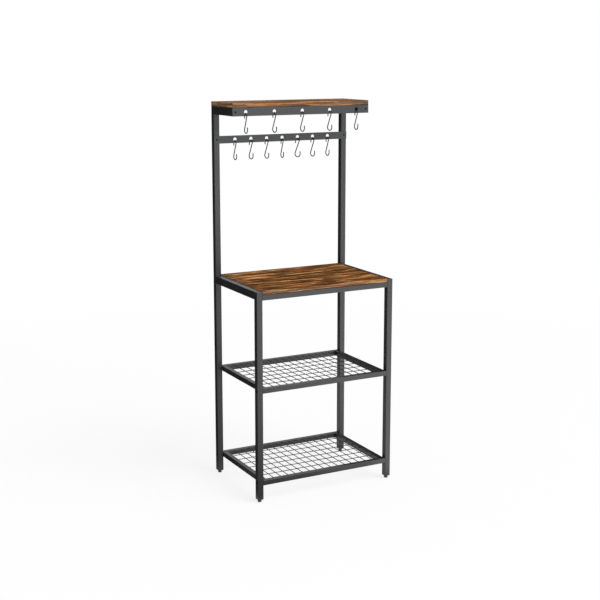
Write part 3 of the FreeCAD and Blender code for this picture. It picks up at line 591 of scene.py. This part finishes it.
def screw_tree():
    """A headed screw on each point, its head outwards along the point's facing."""
    tree, given, result = new_group(
        "screws", "GeometryNodeTree",
        (
            ("Points", "geometry"), ("Head", "object"), ("Shank Radius", "value"), ("Shank Length", "value"),
            ("Material", "material"),
        ),
        (("Screws", "geometry"),))
    head = add_node(tree, "GeometryNodeObjectInfo", {"Object": given.outputs["Head"]})
    shank = add_node(
        tree, "GeometryNodeMeshCylinder",
        {"Vertices": 20, "Radius": given.outputs["Shank Radius"], "Depth": given.outputs["Shank Length"]})
    half = calc(tree, "MULTIPLY", given.outputs["Shank Length"], -0.5)
    down = add_node(tree, "ShaderNodeCombineXYZ", {"Z": half})
    shank = add_node(
        tree, "GeometryNodeTransform",
        {"Geometry": shank.outputs["Mesh"], "Translation": down.outputs["Vector"]})
    whole = tree.nodes.new("GeometryNodeJoinGeometry")
    tree.links.new(head.outputs["Geometry"], whole.inputs["Geometry"])
    tree.links.new(shank.outputs["Geometry"], whole.inputs["Geometry"])
    set_out = add_node(
        tree, "GeometryNodeInstanceOnPoints",
        {
            "Points": given.outputs["Points"], "Instance": whole.outputs["Geometry"],
            "Rotation": facing_rotation(tree),
        })
    solid = add_node(tree, "GeometryNodeRealizeInstances", {"Geometry": set_out.outputs["Instances"]})
    painted = add_node(
        tree, "GeometryNodeSetMaterial",
        {"Geometry": solid.outputs["Geometry"], "Material": given.outputs["Material"]})
    tree.links.new(painted.outputs["Geometry"], result.inputs["Screws"])
    return tree


def shaped(name, shape):
    """A piece of a finished bmesh, with its faces turned outwards."""
    bmesh.ops.recalc_face_normals(shape, faces=shape.faces)
    mesh = bpy.data.meshes.new(name)
    shape.to_mesh(mesh)
    shape.free()
    return mesh_object(name, mesh)


def domed_head(settings):
    """A screw's head as a turned shape: an upright rim, a round shoulder and a slightly domed face."""
    shoulder_steps = 6
    turns = 28
    rim = 0.35
    face = 0.25
    profile = [(0.0, 0.0), (settings.head_radius, 0.0), (settings.head_radius, settings.head_high * rim)]
    for step in range(1, shoulder_steps):
        angle = step / shoulder_steps * math.pi / 2
        profile.append((
            settings.head_radius * (face + (1 - face) * math.cos(angle)),
            settings.head_high * (rim + (1 - rim) * math.sin(angle))))
    profile.append((0.0, settings.head_high))
    shape = bmesh.new()
    corners = [shape.verts.new((radius, 0.0, height)) for radius, height in profile]
    edges = [shape.edges.new(pair) for pair in zip(corners, corners[1:])]
    bmesh.ops.spin(
        shape, geom=corners + edges, cent=(0, 0, 0), axis=(0, 0, 1), angle=math.tau, steps=turns,
        use_duplicate=False)
    bmesh.ops.remove_doubles(shape, verts=shape.verts, dist=0.01 * MM)
    return shaped("screw_head", shape)


def recess_cutter(settings):
    """A cross that narrows downwards, from above the head to the foot of its recess."""
    foot_share = 0.72
    arm = settings.recess_long / 2
    half = settings.recess_wide / 2
    outline = (
        (arm, -half), (arm, half), (half, half), (half, arm), (-half, arm), (-half, half),
        (-arm, half), (-arm, -half), (-half, -half), (-half, -arm), (half, -arm), (half, -half))
    top = settings.head_high + 2 * settings.recess_wide
    foot = settings.head_high - settings.recess_deep
    shape = bmesh.new()
    rings = []
    for height, share in ((foot, foot_share), (top, 1.0)):
        rings.append([shape.verts.new((x * share, y * share, height)) for x, y in outline])
    shape.faces.new(rings[0][::-1])
    shape.faces.new(rings[1])
    for index in range(len(outline)):
        after = (index + 1) % len(outline)
        shape.faces.new((rings[0][index], rings[0][after], rings[1][after], rings[1][index]))
    return shaped("cross_recess", shape)


def screw_head(settings):
    """A domed head with a cross recess, its underside on the origin and its face up."""
    head = domed_head(settings)
    cutter = recess_cutter(settings)
    modifier = head.modifiers.new("recess", "BOOLEAN")
    modifier.operation = "DIFFERENCE"
    modifier.object = cutter
    depsgraph = bpy.context.evaluated_depsgraph_get()
    cut = bpy.data.meshes.new_from_object(head.evaluated_get(depsgraph), depsgraph=depsgraph)
    head.modifiers.remove(modifier)
    head.data = cut
    bpy.data.objects.remove(cutter)
    for face in cut.polygons:
        face.use_smooth = False
    return head


# Where screws and wires are

def facing_screws(node, facing, head_radius, head_high):
    """Undersides of the heads of a node's screws, at the four or two corners of its box."""
    low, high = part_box(node)
    axis = max(range(3), key=lambda index: abs(facing[index]))
    outer = high[axis] - head_high if facing[axis] > 0 else low[axis] + head_high
    others = [index for index in range(3) if index != axis]
    choices = []
    for index in others:
        ends = sorted({round(low[index] + head_radius, 7), round(high[index] - head_radius, 7)})
        if ends[-1] - ends[0] < head_radius:
            ends = [(low[index] + high[index]) / 2]
        choices.append(ends)
    places = []
    for first in choices[0]:
        for second in choices[1]:
            place = [0.0, 0.0, 0.0]
            place[axis] = outer
            place[others[0]] = first
            place[others[1]] = second
            places.append(tuple(place))
    return places


def shank_length(node, facing, head_high):
    """Length of a screw without its head, from its node's box."""
    low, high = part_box(node)
    axis = max(range(3), key=lambda index: abs(facing[index]))
    return high[axis] - low[axis] - head_high


def crossings(level):
    """Places where a shelf's wires cross, and where they meet its frame, with their facings."""
    low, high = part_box(level + "_shelf_mesh")
    deep_step = (high.x - low.x) / (DEEP_WIRES + 1)
    cross_step = (high.y - low.y) / (CROSS_WIRES + 1)
    xs = [low.x + deep_step * (index + 1) for index in range(DEEP_WIRES)]
    ys = [low.y + cross_step * (index + 1) for index in range(CROSS_WIRES)]
    deep_z = high.z - WIRE_RADIUS
    cross_z = low.z + WIRE_RADIUS
    middle = (deep_z + cross_z) / 2
    joints = [((x, y, middle), (0.0, 0.0, 1.0)) for x in xs for y in ys]
    ends = [((x, y, deep_z), (0.0, way, 0.0)) for x in xs for y, way in ((low.y, 1.0), (high.y, -1.0))]
    ends += [((x, y, cross_z), (way, 0.0, 0.0)) for y in ys for x, way in ((low.x, 1.0), (high.x, -1.0))]
    return joints, ends


# Operators

class SHELVING_OT_coats(bpy.types.Operator):
    """Gives tubes, strips, wires, hooks, bolts and hidden steel their finishes"""
    bl_idname = PREFIX + "coats"
    bl_label = "Coat the Steel"

    def execute(self, context):
        settings = context.scene.shelving_coat
        build_coat_group()
        powder = {"roughness": settings.roughness, "grain": settings.grain, "deep": 0.035 * MM}
        thin_powder = {"roughness": settings.roughness, "grain": settings.grain / 2, "deep": 0.02 * MM}
        lacquer = {"roughness": 0.3, "grain": settings.grain / 2, "deep": 0.01 * MM}
        oxide = {"roughness": 0.36, "grain": settings.grain / 3, "deep": 0.01 * MM}
        for slot, colour, gloss, finish in (
            ("frame", settings.frame_colour, 0.42, powder),
            ("strip", settings.strip_colour, 0.42, powder),
            ("wire", settings.wire_colour, 0.28, thin_powder),
            ("hook", settings.hook_colour, 0.36, lacquer),
            ("bolt", settings.bolt_colour, 0.06, oxide),
        ):
            material = coated(slot + "_coat", colour, specular_ior_level=gloss, **finish)
            finish_nodes(NODES_BY_SLOT[slot], material)
        zinc = coated(
            "zinc_plate", ZINC, roughness=0.38, grain=settings.grain / 2, deep=0.01 * MM, metallic=1.0)
        finish_nodes(NODES_BY_SLOT["steel"], zinc)
        return {"FINISHED"}


class SHELVING_OT_boards(bpy.types.Operator):
    """Gives the worktop and the top board their wood print"""
    bl_idname = PREFIX + "boards"
    bl_label = "Print the Boards"

    def execute(self, context):
        settings = context.scene.shelving_board
        build_knot_group()
        build_grain_group()
        for name, board, knots, shift, fade in (
            ("worktop_print", "worktop_board", WORKTOP_KNOTS, WORKTOP_SHIFT, 0.0),
            ("top_board_print", "top_shelf_board", TOP_BOARD_KNOTS, TOP_BOARD_SHIFT, settings.fade),
        ):
            finish_nodes([board], board_material(name, settings, board, knots, shift, fade))
        return {"FINISHED"}


class SHELVING_OT_plastics(bpy.types.Operator):
    """Gives feet, plugs and caps their moulded plastic"""
    bl_idname = PREFIX + "plastics"
    bl_label = "Mould the Plastic"

    def execute(self, context):
        settings = context.scene.shelving_plastic
        plastic = coated(
            "moulded_plastic", settings.colour, settings.roughness, grain=0.7 * MM, deep=0.02 * MM)
        finish_nodes(NODES_BY_SLOT["plastic"], plastic)
        return {"FINISHED"}


class SHELVING_OT_welds(bpy.types.Operator):
    """Sets weld spots where the shelf wires cross and where they end on their frames"""
    bl_idname = PREFIX + "welds"
    bl_label = "Weld the Wires"

    def execute(self, context):
        settings = context.scene.shelving_weld
        tree = weld_tree()
        material = bpy.data.materials["wire_coat"]
        for level in ("mid", "low"):
            joints, ends = crossings(level)
            for name, spots, radius in (
                (level + "_shelf_crossing_welds", joints, settings.spot_radius),
                (level + "_shelf_end_welds", ends, settings.end_radius),
            ):
                piece = points_object(name, [place for place, _ in spots], [facing for _, facing in spots])
                grown(piece, tree, {
                    "Radius": radius, "Flatness": settings.flatness, "Seed": settings.seed,
                    "Material": material})
                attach(piece, "frame")
        bpy.data.node_groups.remove(tree)
        return {"FINISHED"}


class SHELVING_OT_screws(bpy.types.Operator):
    """Makes the screws again with cross recesses in their heads"""
    bl_idname = PREFIX + "screws"
    bl_label = "Set the Screws"

    def execute(self, context):
        settings = context.scene.shelving_screw
        head = screw_head(settings)
        tree = screw_tree()
        for node, facing in (
            ("apron_screws", (0.0, -1.0, 0.0)),
            ("hook_strip_screws", (0.0, -1.0, 0.0)),
            ("worktop_board_screws", (0.0, 0.0, -1.0)),
            ("top_board_screws", (0.0, 0.0, -1.0)),
        ):
            places = facing_screws(node, facing, settings.head_radius, settings.head_high)
            shank_long = shank_length(node, facing, settings.head_high)
            self.make(node, places, [facing] * len(places), shank_long, head, tree, settings)
        low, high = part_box("connector_screws")
        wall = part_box("left_upper_post")[1].x
        y = (low.y + high.y) / 2
        z = (low.z + high.z) / 2
        self.make(
            "connector_screws", [(wall, y, z), (-wall, y, z)], [(1.0, 0.0, 0.0), (-1.0, 0.0, 0.0)],
            high.x + wall, head, tree, settings)
        bpy.data.objects.remove(head)
        bpy.data.node_groups.remove(tree)
        return {"FINISHED"}

    def make(self, node, places, facings, shank_long, head, tree, settings):
        """One piece of screws in the place of their node."""
        material = frame["nodes"][node].material_slots[0].material
        piece = points_object(node + "_cross_head", places, facings)
        grown(piece, tree, {
            "Head": head, "Shank Radius": settings.shank_radius, "Shank Length": shank_long,
            "Material": material})
        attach(piece, "frame")
        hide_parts(node)


class SHELVING_OT_stage(bpy.types.Operator):
    """Sets the floor, the lights, the surroundings and the camera"""
    bl_idname = PREFIX + "stage"
    bl_label = "Set the Stage"

    def execute(self, context):
        settings = context.scene.shelving_stage
        self.floor(settings)
        self.lights(context, settings)
        self.cards()
        self.camera(context)
        return {"FINISHED"}

    def floor(self, settings):
        """A round floor that is plain white where it ends."""
        mesh = bpy.data.meshes.new("floor")
        shape = bmesh.new()
        bmesh.ops.create_circle(shape, cap_ends=True, segments=96, radius=settings.floor_radius)
        shape.to_mesh(mesh)
        shape.free()
        floor = mesh_object("floor", mesh)
        material, tree, shader = new_material("floor_paper", roughness=0.9, specular_ior_level=0.0)
        shader.inputs["Base Color"].default_value = opaque(settings.floor_colour)
        white = add_node(tree, "ShaderNodeEmission", {"Color": WHITE, "Strength": 1.0})
        mixed = tree.nodes.new("ShaderNodeMixShader")
        from_middle = vector_calc(tree, "LENGTH", object_place(tree))
        far = between(tree, from_middle, settings.shade_radius, settings.white_radius)
        white_share = calc(tree, "MAXIMUM", far, settings.glow)
        tree.links.new(calc(tree, "MULTIPLY", seen_ray(tree), white_share), mixed.inputs[0])
        tree.links.new(shader.outputs["BSDF"], mixed.inputs[1])
        tree.links.new(white.outputs["Emission"], mixed.inputs[2])
        output = next(node for node in tree.nodes if node.type == "OUTPUT_MATERIAL")
        tree.links.new(mixed.outputs[0], output.inputs["Surface"])
        mesh.materials.append(material)

    def lights(self, context, settings):
        """A soft sun, a front softbox and white surroundings."""
        lamp = bpy.data.lights.new("key_light", "SUN")
        lamp.energy = settings.key_strength
        lamp.angle = settings.key_spread
        key = bpy.data.objects.new("key_light", lamp)
        context.scene.collection.objects.link(key)
        key.rotation_euler = Vector(TOWARDS_KEY_LIGHT).to_track_quat("Z", "Y").to_euler()

        box = bpy.data.lights.new("front_softbox", "AREA")
        box.shape = "RECTANGLE"
        box.size = SOFTBOX_WIDE
        box.size_y = SOFTBOX_HIGH
        box.energy = settings.softbox_watts
        softbox = bpy.data.objects.new("front_softbox", box)
        context.scene.collection.objects.link(softbox)
        softbox.location = SOFTBOX_PLACE
        to_unit = Vector(SOFTBOX_AIM) - softbox.location
        softbox.rotation_euler = to_unit.to_track_quat("-Z", "Y").to_euler()

        world = bpy.data.worlds.new("surroundings")
        context.scene.world = world
        world.use_nodes = True
        tree = world.node_tree
        tree.nodes.clear()
        white = add_node(tree, "ShaderNodeBackground", {"Color": WHITE, "Strength": 1.0})
        soft = add_node(tree, "ShaderNodeBackground", {"Color": WHITE, "Strength": settings.fill})
        mixed = tree.nodes.new("ShaderNodeMixShader")
        tree.links.new(seen_ray(tree), mixed.inputs[0])
        tree.links.new(soft.outputs[0], mixed.inputs[1])
        tree.links.new(white.outputs[0], mixed.inputs[2])
        output = tree.nodes.new("ShaderNodeOutputWorld")
        tree.links.new(mixed.outputs[0], output.inputs["Surface"])

    def cards(self):
        """Cards that only the gloss sees: black ones darken the steel's far sides, a white one lights it."""
        black, _, shader = new_material("black_card", roughness=1.0, specular_ior_level=0.0)
        shader.inputs["Base Color"].default_value = BLACK
        white, _, shader = new_material("white_card", roughness=1.0, specular_ior_level=0.0)
        shader.inputs["Emission Color"].default_value = WHITE
        shader.inputs["Emission Strength"].default_value = WHITE_CARD_STRENGTH

        side_high = 3.0
        fold = ((-2.1, 0.8), (-1.5, 1.9), (-0.6, 2.7), (0.1, 2.9))
        side = [(x, y, z) for x, y in fold for z in (0.0, side_high)]
        panels = [(index, index + 2, index + 3, index + 1) for index in range(0, len(side) - 2, 2)]
        rear = [(0.50, 0.6, 0.1), (1.60, 0.6, 0.1), (1.60, 0.6, 1.4), (0.50, 0.6, 1.4)]

        def lying(corners):
            above_floor = 2 * MM
            return [(x, y, above_floor) for x, y in corners]

        for name, corners, faces, material in (
            ("side_card", side, panels, black),
            ("rear_card", rear, [], black),
            ("floor_card", lying([(-0.32, -0.15), (-0.30, 2.7), *fold[2::-1]]), [], black),
            ("foot_card", lying([(-0.75, -0.22), (-0.75, -0.62), (0.0, -0.62), (0.02, -0.22)]), [], black),
            ("front_card", lying([(0.30, -0.25), (0.95, -3.2), (3.0, -3.2), (1.6, -0.25)]), [], white),
        ):
            mesh = bpy.data.meshes.new(name)
            mesh.from_pydata(corners, [], faces or [tuple(range(len(corners)))])
            mesh.materials.append(material)
            card = mesh_object(name, mesh)
            card.visible_camera = False
            card.visible_shadow = False
            card.visible_diffuse = False

    def camera(self, context):
        """The camera of the photograph."""
        eye = bpy.data.cameras.new("camera")
        eye.sensor_width = SENSOR_WIDE
        eye.lens = FOCAL_PIXELS / PICTURE_PIXELS * eye.sensor_width
        eye.shift_y = CAMERA_SHIFT
        eye.clip_end = 100.0
        camera = bpy.data.objects.new("camera", eye)
        camera.location = CAMERA_PLACE
        camera.rotation_euler = (math.radians(90 - CAMERA_DOWN), 0.0, math.radians(-CAMERA_TURN))
        context.scene.collection.objects.link(camera)
        context.scene.camera = camera
        context.scene.view_settings.view_transform = "Standard"


class SHELVING_PT_unit(bpy.types.Panel):
    """Lists the steps that finish the unit"""
    bl_idname = "SHELVING_PT_unit"
    bl_label = "Kitchen Shelving Unit"
    bl_space_type = "VIEW_3D"
    bl_region_type = "UI"
    bl_category = SIDEBAR_TAB

    def draw(self, context):
        for name, operator in STEPS:
            self.layout.operator(operator.bl_idname)
            if name:
                group = getattr(context.scene, name)
                for setting in group.__annotations__:
                    self.layout.prop(group, setting)


STEPS = (
    ("shelving_coat", SHELVING_OT_coats),
    ("shelving_board", SHELVING_OT_boards),
    ("shelving_plastic", SHELVING_OT_plastics),
    ("shelving_weld", SHELVING_OT_welds),
    ("shelving_screw", SHELVING_OT_screws),
    ("shelving_stage", SHELVING_OT_stage),
)
CLASSES = (*SETTINGS.values(), *(operator for _, operator in STEPS), SHELVING_PT_unit)


def register():
    for entry in CLASSES:
        bpy.utils.register_class(entry)
    for name, group in SETTINGS.items():
        setattr(bpy.types.Scene, name, PointerProperty(type=group))


def unregister():
    for name in SETTINGS:
        delattr(bpy.types.Scene, name)
    for entry in reversed(CLASSES):
        bpy.utils.unregister_class(entry)


def main():
    register()
    for _, operator in STEPS:
        family, step = operator.bl_idname.split(".")
        getattr(getattr(bpy.ops, family), step)()


if __name__ == "__main__":
    main()
